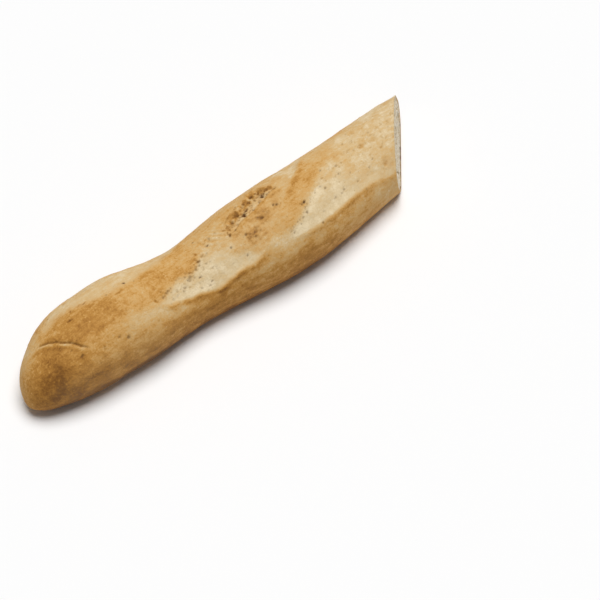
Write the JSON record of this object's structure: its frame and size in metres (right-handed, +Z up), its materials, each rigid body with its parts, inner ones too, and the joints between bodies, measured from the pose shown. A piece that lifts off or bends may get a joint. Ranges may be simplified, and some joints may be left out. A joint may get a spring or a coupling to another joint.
{
  "type": "baguette",
  "caption": "Half of a long scored wheat loaf, with a rounded heel at one end and a bias knife cut at the other, lying on its flat baked base.",
  "frame": {"origin": "middle of the bounding box, on the plane of the flat baked base", "axes": "+X along the loaf from the heel towards the cut end, +Z up from the base, +Y to the side on which the cut end reaches furthest"},
  "size_m": [0.315, 0.07, 0.0447],
  "materials": {
    "crust": "matte",
    "crumb": "matte"
  },
  "bodies": {
    "root": {"baguette": "crust"}
  },
  "joints": []
}
